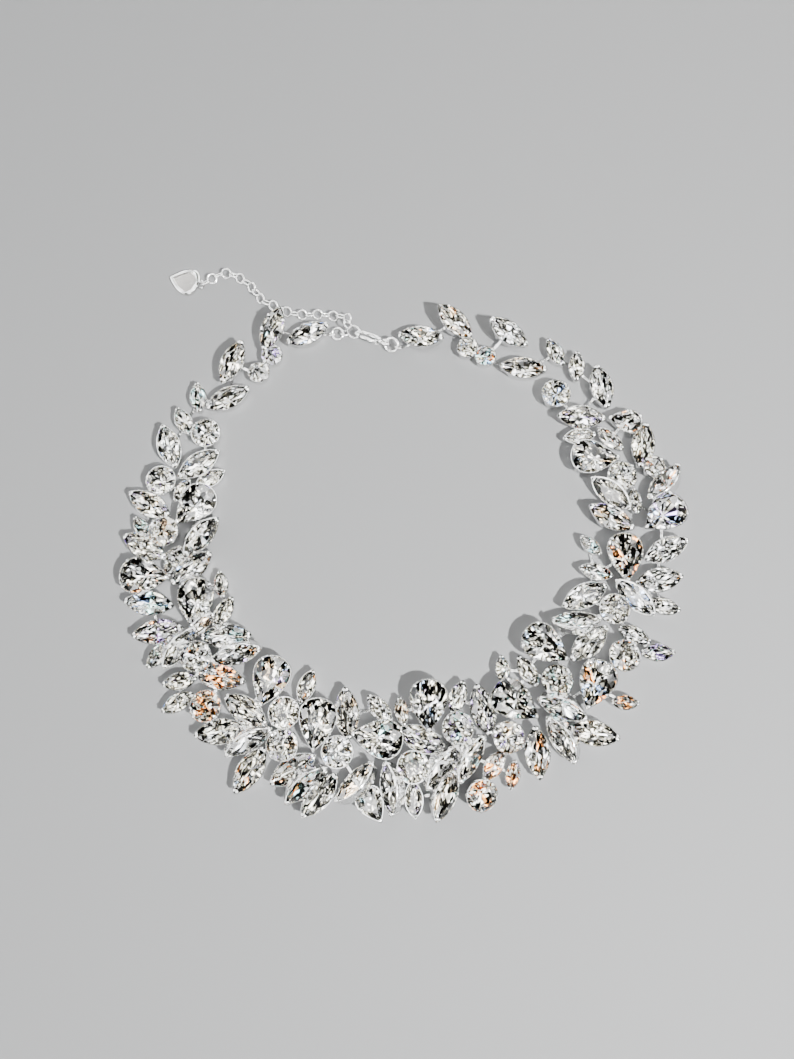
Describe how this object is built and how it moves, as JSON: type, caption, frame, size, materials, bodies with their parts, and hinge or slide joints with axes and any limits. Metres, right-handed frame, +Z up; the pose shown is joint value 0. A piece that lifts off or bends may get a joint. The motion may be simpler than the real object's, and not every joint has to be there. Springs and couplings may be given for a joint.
{
  "type": "bib necklace of cut crystals",
  "caption": "Round bib necklace of cut crystals in claw settings joined by wires, closed by a lobster clasp on an extension chain with a drop-shaped tag, lying flat.",
  "frame": {"origin": "on the surface, under the middle of the outline's box", "axes": "+X to the wearer's left as it lies face up, +Y towards the clasp, +Z up off the surface"},
  "size_m": [0.1684, 0.171, 0.0078],
  "materials": {
    "crystal": "clear faceted crystal over a silvered back",
    "settings": "bright silver-coloured plated claw settings with clear crystals",
    "silver_rings": "bright silver-coloured plated wire",
    "silver_chain": "bright silver-coloured plated wire",
    "clasp": "polished silver-coloured plated casting",
    "tag": "polished rim round a flat satin face, bare"
  },
  "bodies": {
    "necklace": {"left_spray": "settings", "right_spray": "settings", "pear_stone_1": "crystal", "pear_stone_2": "crystal", "pear_stone_3": "crystal", "pear_stone_4": "crystal", "pear_stone_5": "crystal", "pear_stone_6": "crystal", "pear_stone_7": "crystal", "pear_stone_8": "crystal", "pear_stone_9": "crystal", "pear_stone_10": "crystal", "pear_stone_11": "crystal", "pear_stone_12": "crystal", "pear_stone_13": "crystal", "small_pear_stone_1": "crystal", "small_pear_stone_2": "crystal", "round_stone_1": "crystal", "round_stone_2": "crystal", "round_stone_3": "crystal", "round_stone_4": "crystal", "round_stone_5": "crystal", "round_stone_6": "crystal", "round_stone_7": "crystal", "round_stone_8": "crystal", "round_stone_9": "crystal", "round_stone_10": "crystal", "round_stone_11": "crystal", "round_stone_12": "crystal", "round_stone_13": "crystal", "round_stone_14": "crystal", "round_stone_15": "crystal", "round_stone_16": "crystal", "round_stone_17": "crystal", "navette_stone_1": "crystal", "navette_stone_2": "crystal", "navette_stone_3": "crystal", "navette_stone_4": "crystal", "navette_stone_5": "crystal", "navette_stone_6": "crystal", "navette_stone_7": "crystal", "navette_stone_8": "crystal", "jump_ring": "silver_rings", "clasp_body": "clasp", "end_ring": "silver_rings", "extension_chain": "silver_chain", "end_tag": "tag"},
    "lever": {"clasp_lever": "clasp"}
  },
  "joints": [
    {"name": "clasp_lever_hinge", "type": "hinge", "parent": "necklace", "child": "lever", "pos_m": [-0.00932, 0.05837, 0.00344], "axis": [-0.2251, -0.6021, -0.766], "range_deg": [0, 22], "stiffness_Nm_per_rad": 0.0002}
  ]
}
